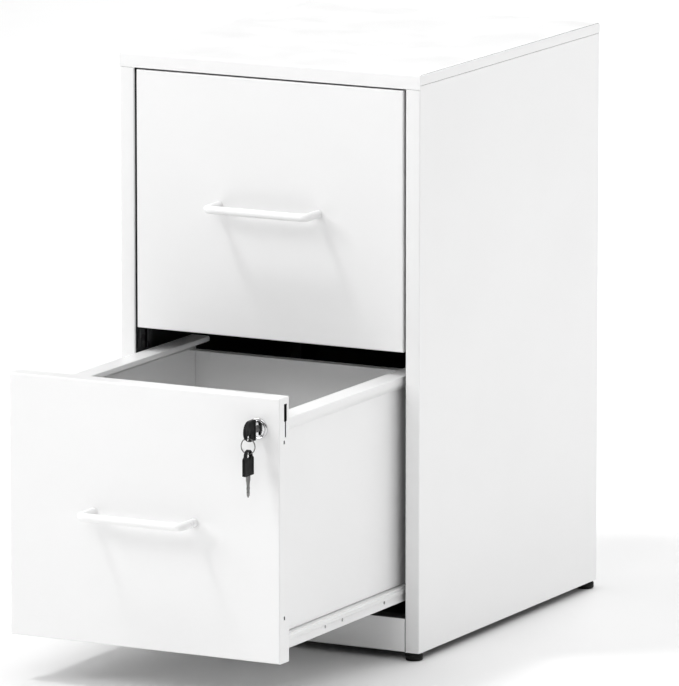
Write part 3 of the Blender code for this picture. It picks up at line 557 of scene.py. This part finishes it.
def sharp_by_angle(angle):
    """A node group that keeps an edge sharp where its faces meet at more than the angle."""
    group = bpy.data.node_groups.new("sharp_by_angle", "GeometryNodeTree")
    group.interface.new_socket("Geometry", in_out="INPUT", socket_type="NodeSocketGeometry")
    group.interface.new_socket("Geometry", in_out="OUTPUT", socket_type="NodeSocketGeometry")
    enter = group.nodes.new("NodeGroupInput")
    leave = group.nodes.new("NodeGroupOutput")
    measured = group.nodes.new("GeometryNodeInputMeshEdgeAngle")
    is_soft = group.nodes.new("FunctionNodeCompare")
    is_soft.operation = "LESS_THAN"
    is_soft.inputs[1].default_value = angle
    shade = group.nodes.new("GeometryNodeSetShadeSmooth")
    shade.domain = "EDGE"
    group.links.new(measured.outputs["Unsigned Angle"], is_soft.inputs[0])
    group.links.new(enter.outputs[0], shade.inputs["Geometry"])
    group.links.new(is_soft.outputs[0], shade.inputs["Shade Smooth"])
    group.links.new(shade.outputs[0], leave.inputs[0])
    return group


def dress_frame():
    """Each node keeps its shape and gets its material, joined faces and rounded edges."""
    sharp = sharp_by_angle(SMOOTH_ANGLE)
    for name, node in frame["nodes"].items():
        node.data.materials.clear()
        node.data.materials.append(material_for(name))
        node.data.shade_smooth()
        weld = node.modifiers.new("weld", "WELD")
        weld.merge_threshold = WELD_DISTANCE
        bevel = node.modifiers.new("edges", "BEVEL")
        bevel.width = SHEET_BEVEL
        bevel.segments = SHEET_BEVEL_SEGMENTS
        bevel.limit_method = "ANGLE"
        bevel.angle_limit = SMOOTH_ANGLE
        node.modifiers.new("sharp", "NODES").node_group = sharp
        node.modifiers.new("flat_faces", "WEIGHTED_NORMAL").keep_sharp = True


dress_frame()


# ---------------------------------------------------------------- handles

HANDLE_SIDES = 40
HANDLE_BEND = 6 * MM
HANDLE_BEND_STEPS = 14
HANDLE_BAR_STEPS = 12
# Where a leg has points, as shares of its length from the bend to the drawer
HANDLE_LEG_SHARES = (0.2, 0.5, 0.8)
# The round rod is drawn this much thicker than the frame's faceted one
ROUND_OVER_FACETED = 1.03


def add_handle(drawer):
    """One rod bent to a bar with two legs that end on the drawer front."""
    node = f"{drawer}_handle"
    low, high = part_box(node)
    radius = half_size(node).z * ROUND_OVER_FACETED
    left, right = low.x + radius, high.x - radius
    front, back = low.y + radius, high.y
    bar = right - left - 2 * HANDLE_BEND
    leg = back - front - HANDLE_BEND
    leg_points = [front + HANDLE_BEND + leg * share for share in HANDLE_LEG_SHARES]
    path = [(left, back)]
    path += [(left, y) for y in reversed(leg_points)]
    path += arc((left + HANDLE_BEND, front + HANDLE_BEND), HANDLE_BEND, 180, 270, HANDLE_BEND_STEPS)
    for step in range(1, HANDLE_BAR_STEPS):
        path.append((left + HANDLE_BEND + bar * step / HANDLE_BAR_STEPS, front))
    path += arc((right - HANDLE_BEND, front + HANDLE_BEND), HANDLE_BEND, 270, 360, HANDLE_BEND_STEPS)
    path += [(right, y) for y in leg_points]
    path.append((right, back))
    points = [Vector((x, y, centre(node).z)) for x, y in path]
    mesh = swept(points, radius, HANDLE_SIDES)
    piece = finish_piece(f"{drawer}_bent_handle", mesh, HANDLE_PAINT, body_of(node), [node])
    add_bevel(piece, width=0.4 * MM, segments=2, angle=60)


for drawer in DRAWERS:
    add_handle(drawer)


# ---------------------------------------------------------------- rollers and glides

ROLLER_SEGMENTS = 48
ROLLER_BORE = 2.3 * MM
ROLLER_HUB = 1.0 * MM
ROLLER_TREAD = 1.1 * MM
ROLLER_SLOPE = 0.3 * MM
ROLLER_DISH = 0.5 * MM
ROLLER_EDGE = 0.5 * MM
EDGE_STEPS = 5


def add_roller(node):
    """A nylon wheel, dished on both faces between its hub and its tread."""
    size = half_size(node)
    radius, half = size.z, size.x
    hub = ROLLER_BORE + ROLLER_HUB
    tread = radius - ROLLER_TREAD
    edge = radius - ROLLER_EDGE
    profile = [(ROLLER_BORE, -half), (hub, -half), (hub + ROLLER_SLOPE, ROLLER_DISH - half)]
    profile += [(tread - ROLLER_SLOPE, ROLLER_DISH - half), (tread, -half), (edge, -half)]
    profile += arc((edge, ROLLER_EDGE - half), ROLLER_EDGE, -90, 0, EDGE_STEPS)[1:]
    profile += arc((edge, half - ROLLER_EDGE), ROLLER_EDGE, 0, 90, EDGE_STEPS)
    profile += [(tread, half), (tread - ROLLER_SLOPE, half - ROLLER_DISH)]
    profile += [(hub + ROLLER_SLOPE, half - ROLLER_DISH), (hub, half), (ROLLER_BORE, half)]
    mesh = turn_to(turned(profile, ROLLER_SEGMENTS), "X")
    finish_piece(f"{node}_wheel", mesh, NYLON, body_of(node), [node], centre(node))


TURNED_SEGMENTS = 96

# Glides: heights above the floor, distances in from the rim and the sizes of the threaded stem
FOOT_EDGE = 1.0 * MM
FOOT_STEP = 0.2 * MM
RIM_LOW = 1.7 * MM
RIM_HIGH = 5.4 * MM
RIM_BEVEL = 0.3 * MM
DOME_RADIUS = 1.6 * MM
NUT_WIDTH = 1.4 * MM
STEM_RADIUS = 3.0 * MM
STEM_FOOT = 8.1 * MM
STEM_TIP = (0.6 * MM, 0.7 * MM)
STEM_PITCH = 1.25 * MM
STEM_THREAD = 0.45 * MM
# A thread starts this far past the face it stands on, and this much of its stem stays plain
THREAD_START = 0.6 * MM
THREAD_REST = 1.5 * MM
RIB_COUNT = 24
RIB_DEPTH = 0.35 * MM
RIB_MARGIN = 0.1 * MM


def thread(radius, depth, start, length, pitch):
    """A profile's points along a ridged stretch that stands in for a thread."""
    points = []
    for turn in range(int(length / pitch)):
        base = start + turn * pitch
        points += [(radius, base), (radius - depth, base + pitch / 2)]
    return points


def cut_ribs(mesh, radius):
    """Presses grooves into the rim of a glide, between its ribs."""
    for vertex in mesh.verts:
        on_rim = vertex.co.xy.length > radius - RIB_MARGIN
        if on_rim and RIM_LOW - RIB_MARGIN < vertex.co.z < RIM_HIGH + RIB_MARGIN:
            angle = math.atan2(vertex.co.y, vertex.co.x)
            groove = RIB_DEPTH * (1 + math.cos(RIB_COUNT * angle)) / 2
            vertex.co.xy *= (radius - groove) / radius


def add_glide(node):
    """A moulded levelling foot: a ribbed rim, a domed shoulder and a threaded stem."""
    low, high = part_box(node)
    radius = half_size(node).x
    foot = radius - FOOT_STEP
    tip_width, tip_height = STEM_TIP
    profile = [(0, 0), (foot - FOOT_EDGE, 0)]
    profile += arc((foot - FOOT_EDGE, FOOT_EDGE), FOOT_EDGE, -90, 0, EDGE_STEPS)[1:]
    profile += [(foot, RIM_LOW - RIM_BEVEL), (radius, RIM_LOW), (radius, RIM_HIGH)]
    profile += arc((radius - DOME_RADIUS, RIM_HIGH), DOME_RADIUS, 0, 60, EDGE_STEPS)[1:]
    profile += [(STEM_RADIUS + NUT_WIDTH, STEM_FOOT), (STEM_RADIUS, STEM_FOOT)]
    threaded = high.z - STEM_FOOT - THREAD_REST
    profile += thread(STEM_RADIUS, STEM_THREAD, STEM_FOOT + THREAD_START, threaded, STEM_PITCH)
    profile += [(STEM_RADIUS, high.z - tip_height), (STEM_RADIUS - tip_width, high.z), (0, high.z)]
    mesh = turned(profile, TURNED_SEGMENTS)
    cut_ribs(mesh, radius)
    place = (centre(node).x, centre(node).y, low.z)
    finish_piece(f"{node}_foot", mesh, GLIDE_PLASTIC, body_of(node), [node], place)


for name in list(frame["nodes"]):
    if name.endswith("_roller"):
        add_roller(name)
    elif name.endswith("_glide"):
        add_glide(name)


# ---------------------------------------------------------------- lock

# The collar: depths are measured from its front face
COLLAR_RADIUS = 11.2 * MM
COLLAR_HEIGHT = 2.0 * MM
COLLAR_EDGE = 1.3 * MM
COLLAR_EDGE_DEPTH = 0.05 * MM
COLLAR_EDGE_STEPS = 8
DISH_WIDTH = 1.0 * MM
DISH_DEPTH = 0.25 * MM
MOUTH_EDGE = 0.45 * MM
MOUTH_DEPTH = 0.5 * MM
POCKET_DEPTH = 1.3 * MM

BARREL_RADIUS = 8 * MM
BARREL_BORE = 6.6 * MM
BARREL_NECK = 0.4 * MM
BARREL_PITCH = 1.0 * MM
BARREL_THREAD = 0.35 * MM
BARREL_REST = 1.4 * MM
BARREL_TAPER = 0.4 * MM

PLUG_FACE_RADIUS = 8.5 * MM
PLUG_CHAMFER = (0.5 * MM, 0.25 * MM)
PLUG_HEAD = 0.9 * MM
PLUG_GAP = 0.25 * MM
PLUG_BODY_RADIUS = 6.3 * MM
PLUG_BODY_LENGTH = 14.2 * MM
PLUG_TAIL_RADIUS = 5.2 * MM
PLUG_TAIL_CHAMFER = 0.3 * MM
KEYWAY_HALF_HEIGHT = 3.9 * MM
KEYWAY_GAP = 0.25 * MM


def add_turned_lock_part(node, profile, name):
    """A chromed piece turned about the lock's axis, with its front face on the front of its node's box."""
    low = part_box(node)[0]
    location = (centre(node).x, low.y, centre(node).z)
    mesh = turn_to(turned(profile, TURNED_SEGMENTS), "Y")
    return finish_piece(name, mesh, CHROME, body_of(node), [node], location)


def add_lock_housing():
    """The collar, with a rolled edge and a dished face, and the threaded barrel behind it."""
    depth = 2 * half_size("lock_housing").y
    opening = PLUG_FACE_RADIUS + PLUG_GAP
    edge = (COLLAR_RADIUS - COLLAR_EDGE, COLLAR_EDGE + COLLAR_EDGE_DEPTH)
    profile = [(BARREL_BORE, POCKET_DEPTH), (opening, POCKET_DEPTH), (opening, MOUTH_DEPTH)]
    profile += arc((opening + MOUTH_EDGE, MOUTH_DEPTH), MOUTH_EDGE, 180, 270, EDGE_STEPS)[1:]
    profile += [(opening + DISH_WIDTH, DISH_DEPTH)]
    profile += arc(edge, COLLAR_EDGE, -80, 0, COLLAR_EDGE_STEPS)
    profile += [(COLLAR_RADIUS, COLLAR_HEIGHT), (BARREL_RADIUS, COLLAR_HEIGHT)]
    profile += [(BARREL_RADIUS, COLLAR_HEIGHT + BARREL_NECK)]
    threaded = depth - COLLAR_HEIGHT - BARREL_REST
    profile += thread(BARREL_RADIUS, BARREL_THREAD, COLLAR_HEIGHT + THREAD_START, threaded, BARREL_PITCH)
    profile += [(BARREL_RADIUS - BARREL_TAPER, depth), (BARREL_BORE, depth)]
    add_turned_lock_part("lock_housing", profile, "lock_collar")


def add_lock_plug():
    """The plug: a flat polished face with a chamfered rim, and the keyway through it."""
    depth = 2 * half_size("lock_plug").y
    chamfer_width, chamfer_depth = PLUG_CHAMFER
    profile = [(0, 0), (PLUG_FACE_RADIUS - chamfer_width, 0), (PLUG_FACE_RADIUS, chamfer_depth)]
    profile += [(PLUG_FACE_RADIUS, PLUG_HEAD), (PLUG_BODY_RADIUS, PLUG_HEAD)]
    profile += [(PLUG_BODY_RADIUS, PLUG_BODY_LENGTH), (PLUG_TAIL_RADIUS, PLUG_BODY_LENGTH)]
    profile += [(PLUG_TAIL_RADIUS, depth - PLUG_TAIL_CHAMFER)]
    profile += [(PLUG_TAIL_RADIUS - PLUG_TAIL_CHAMFER, depth), (0, depth)]
    piece = add_turned_lock_part("lock_plug", profile, "lock_plug_face")
    half_width = half_size("key_blade").x + KEYWAY_GAP
    outline = rectangle(-CUT_MARGIN, depth + CUT_MARGIN, -KEYWAY_HALF_HEIGHT, KEYWAY_HALF_HEIGHT)
    cut_with(piece, plate(outline, -half_width, half_width), "keyway")


add_lock_housing()
add_lock_plug()


# ---------------------------------------------------------------- keys

# Bows: corners, shoulders, the shallow panel on each face and the hole with its recess
BOW_CORNER = 1.1 * MM
CORNER_STEPS = 4
LOBE_STEPS = 32
SHOULDER_LENGTH = 3.4 * MM
# Where a shoulder bends, as a share of its length, and how high it still is there, as a share of the bow
SHOULDER_BEND = 0.45
SHOULDER_TAPER = 0.93
PANEL_CORNER = 0.8 * MM
PANEL_INSET = 2.2 * MM
PANEL_MARGIN = 2.3 * MM
PANEL_DEPTH = 0.35 * MM
HOLE_RADIUS = 3.1 * MM
HOLE_STEPS = 28
HOLE_RECESS_RADIUS = 4.4 * MM
HOLE_RECESS_DEPTH = 1.05 * MM
HOLE_RECESS_STEPS = 32

# Where the holes lie from the bow's base, in (along, up)
KEY_HOLE = (-14.2 * MM, -7.0 * MM)
SPARE_HOLE = (-21.4 * MM, 0)

# Blades: the depths of the cuts from the tip on, and the groove beside the middle of each face
BLADE_CUTS = (1.9 * MM, 1.5 * MM, 1.8 * MM, 1.2 * MM, 1.7 * MM, 1.3 * MM, 0.9 * MM)
CUT_START = 2.0 * MM
CUT_PITCH = 2.3 * MM
CUT_FLAT = 1.1 * MM
CUT_STRETCH = 17.6 * MM
TIP_HALF = 0.8 * MM
GROOVE_OFFSET = 0.9 * MM
GROOVE_HALF = 0.55 * MM
GROOVE_DEPTH = 0.4 * MM

# The split ring; it starts and ends one wire radius to either side of its middle plane
RING_WIRE = 0.5 * MM
RING_SIDES = 14
RING_INSET = 0.65 * MM
RING_TURNS = 1.93
RING_STEPS = 130
RING_START = math.radians(200)


def bow_outline(length, half, lobe, corner):
    """A bow from its square base at 0 to its rounded end at -length, in (along, up).

    Where the end lobe is narrower than the bow, sloping shoulders lead to it."""
    lower = []
    upper = []
    if lobe < half:
        shoulder = lobe + SHOULDER_LENGTH - length
        bend = shoulder - SHOULDER_LENGTH * SHOULDER_BEND
        lower = [(shoulder, -half), (bend, -half * SHOULDER_TAPER)]
        upper = [(bend, half * SHOULDER_TAPER), (shoulder, half)]
    outline = arc((-corner, corner - half), corner, 0, -90, CORNER_STEPS) + lower
    outline += arc((lobe - length, 0), lobe, -90, -270, LOBE_STEPS) + upper
    outline += arc((-corner, half - corner), corner, 90, 0, CORNER_STEPS)
    return outline


def lay_out(mesh, direction):
    """A key is drawn with its blade pointing back, along +Y; this turns it where the blade points down."""
    if direction == "down":
        turn = Matrix.Rotation(-math.pi / 2, 3, "X")
        bmesh.ops.rotate(mesh, cent=(0, 0, 0), matrix=turn, verts=mesh.verts)
    return mesh


def key_size(node, direction):
    """The length, half height and half thickness of a key's bow or blade."""
    half = half_size(node)
    if direction == "back":
        return 2 * half.y, half.z, half.x
    return 2 * half.z, half.y, half.x


def add_key_bow(node, direction, hole, lobe, short):
    """A moulded bow: a rounded plate with a shallow panel and a deeper recess round its hole on each face.

    The blade points back into the lock or down, as the direction says."""
    low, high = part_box(node)
    length, half, thick = key_size(node, direction)
    length -= short
    lobe = min(lobe, half)
    middle = centre(node)
    base = {"back": (middle.x, high.y, middle.z), "down": (middle.x, middle.y, low.z)}[direction]
    mesh = lay_out(plate(bow_outline(length, half, lobe, BOW_CORNER), -thick, thick), direction)
    body = body_of(node)
    piece = finish_piece(f"{node}_moulding", mesh, BLACK_PLASTIC, body, [node], base)
    panel = bow_outline(length - 2 * PANEL_INSET, half - PANEL_MARGIN, lobe - PANEL_MARGIN, PANEL_CORNER)
    panel = [(along - PANEL_INSET, up) for along, up in panel]
    recess = circle(hole, HOLE_RECESS_RADIUS, HOLE_RECESS_STEPS)
    for side in (-1, 1):
        for outline, depth, name in ((panel, PANEL_DEPTH, "panel"), (recess, HOLE_RECESS_DEPTH, "recess")):
            cut_with(piece, lay_out(plate(outline, *face_cut(side, thick, depth)), direction), name)
    through = plate(circle(hole, HOLE_RADIUS, HOLE_STEPS), -thick - CUT_MARGIN, thick + CUT_MARGIN)
    cut_with(piece, lay_out(through, direction), "hole")
    add_bevel(piece, width=0.35 * MM, segments=3, angle=50)


def blade_outline(length, half):
    """A blade from its neck at 0 to its tip, with the same cuts along both edges, in (along, up)."""
    lower = []
    upper = []
    for step, depth in enumerate(BLADE_CUTS):
        along = length - CUT_START - CUT_PITCH * step
        lower = [(along - CUT_FLAT, depth - half), (along, depth - half)] + lower
        upper += [(along, half - depth), (along - CUT_FLAT, half - depth)]
    neck = length - CUT_STRETCH
    outline = [(0, -half), (neck, -half)] + lower
    outline += [(length, -TIP_HALF), (length, TIP_HALF)] + upper + [(neck, half), (0, half)]
    return outline


def add_key_blade(node, direction, longer):
    """A blade with cuts along both edges and a milled groove along each face."""
    low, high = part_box(node)
    length, half, thick = key_size(node, direction)
    length += longer
    middle = centre(node)
    start = {"back": (middle.x, low.y, middle.z), "down": (middle.x, middle.y, high.z)}[direction]
    mesh = lay_out(plate(blade_outline(length, half), -thick, thick), direction)
    body = body_of(node)
    piece = finish_piece(f"{node}_cut", mesh, KEY_STEEL, body, [node], start)
    for side in (-1, 1):
        offset = side * GROOVE_OFFSET
        groove = rectangle(-CUT_MARGIN, length + CUT_MARGIN, offset - GROOVE_HALF, offset + GROOVE_HALF)
        cut_with(piece, lay_out(plate(groove, *face_cut(side, thick, GROOVE_DEPTH)), direction), "groove")
    add_bevel(piece, width=0.12 * MM, segments=2, angle=40)


def add_key_ring():
    """A split ring: two close turns of wire."""
    middle = centre("key_ring")
    radius = half_size("key_ring").x - RING_INSET
    points = []
    for step in range(RING_STEPS + 1):
        share = step / RING_STEPS
        angle = RING_START + 2 * math.pi * RING_TURNS * share
        across = RING_WIRE * (2 * share - 1)
        points.append(middle + Vector((radius * math.cos(angle), across, radius * math.sin(angle))))
    mesh = swept(points, RING_WIRE, RING_SIDES)
    finish_piece("split_ring", mesh, KEY_STEEL, body_of("key_ring"), ["key_ring"])


add_key_bow("key_bow", "back", KEY_HOLE, lobe=20 * MM, short=0)
add_key_blade("key_blade", "back", longer=0)
add_key_bow("spare_key_bow", "down", SPARE_HOLE, lobe=6.6 * MM, short=1.4 * MM)
add_key_blade("spare_key_blade", "down", longer=2.5 * MM)
add_key_ring()


# ---------------------------------------------------------------- studio

FLOOR_HALF = 25
FLOOR_SEGMENTS = 8
FLOOR_MIDDLE = (0, 8, -0.2 * MM)

# Sky: (sine of the elevation, tone), and the strength of the whole
SKY = ((0.0, 0.97), (0.17, 0.0), (0.34, 0.0), (0.64, 1.0), (1.0, 0.81))
SKY_STRENGTH = 0.94

# Softboxes: name, direction its light travels in, target, distance, size and power in W
CABINET_AIM = (0, -0.1, 0.35)
REAR_FLOOR_AIM = (-0.5, 3.5, 0)
SOFTBOXES = (
    ("key_softbox", (0.37, 0.28, -0.89), CABINET_AIM, 4.0, 0.6, 50.0),
    ("left_softbox", (0.6, 0.6, -0.5), CABINET_AIM, 5.0, 2.0, 68.0),
    ("front_fill", (-0.1, 0.84, -0.53), CABINET_AIM, 5.0, 2.0, 33.0),
    ("right_softbox", (-0.82, -0.53, -0.21), CABINET_AIM, 5.0, 1.6, 36.0),
    ("back_softbox", (-0.43, -0.75, -0.5), CABINET_AIM, 5.0, 2.0, 48.0),
    ("rear_wash", (0.0, -0.35, -0.94), REAR_FLOOR_AIM, 4.0, 3.0, 110.0),
)


def add_floor():
    mesh = bmesh.new()
    bmesh.ops.create_grid(mesh, x_segments=FLOOR_SEGMENTS, y_segments=FLOOR_SEGMENTS, size=FLOOR_HALF)
    data = bpy.data.meshes.new("floor")
    mesh.to_mesh(data)
    mesh.free()
    floor = bpy.data.objects.new("floor", data)
    bpy.context.scene.collection.objects.link(floor)
    floor.location = FLOOR_MIDDLE
    data.materials.append(plain_floor())


def add_area_light(name, place, target, size, power):
    light = bpy.data.lights.new(name, "AREA")
    light.shape = "SQUARE"
    light.size = size
    light.energy = power
    lamp = bpy.data.objects.new(name, light)
    bpy.context.scene.collection.objects.link(lamp)
    lamp.location = place
    lamp.rotation_euler = (Vector(target) - Vector(place)).to_track_quat("-Z", "Y").to_euler()


def add_world():
    """A white studio whose brightness depends on the height above the horizon."""
    world = bpy.data.worlds.new("studio")
    bpy.context.scene.world = world
    world.use_nodes = True
    tree = world.node_tree
    background = tree.nodes["Background"]
    coordinates = add_node(tree, "ShaderNodeTexCoord")
    split = add_node(tree, "ShaderNodeSeparateXYZ")
    tree.links.new(coordinates.outputs["Generated"], split.inputs[0])
    ramp = add_node(tree, "ShaderNodeValToRGB")
    tree.links.new(split.outputs["Z"], ramp.inputs["Fac"])
    while len(ramp.color_ramp.elements) < len(SKY):
        # Any place will do: each stop is moved to its own place below
        ramp.color_ramp.elements.new(0.5)
    for element, (height, tone) in zip(ramp.color_ramp.elements, SKY):
        element.position = height
        element.color = (tone, tone, tone, 1)
    tree.links.new(ramp.outputs["Color"], background.inputs["Color"])
    background.inputs["Strength"].default_value = SKY_STRENGTH


def add_camera():
    camera = bpy.data.cameras.new("camera")
    camera.lens = CAMERA_LENS
    camera.sensor_width = SENSOR_WIDTH
    camera.clip_end = CAMERA_REACH
    thing = bpy.data.objects.new("camera", camera)
    bpy.context.scene.collection.objects.link(thing)
    thing.location = CAMERA_PLACE
    thing.rotation_euler = (math.pi / 2 - CAMERA_PITCH, 0, CAMERA_YAW)
    bpy.context.scene.camera = thing


add_camera()
add_floor()
add_world()
for name, direction, target, distance, size, power in SOFTBOXES:
    place = Vector(target) - Vector(direction).normalized() * distance
    add_area_light(name, place, target, size, power)
bpy.context.scene.view_settings.view_transform = "Standard"
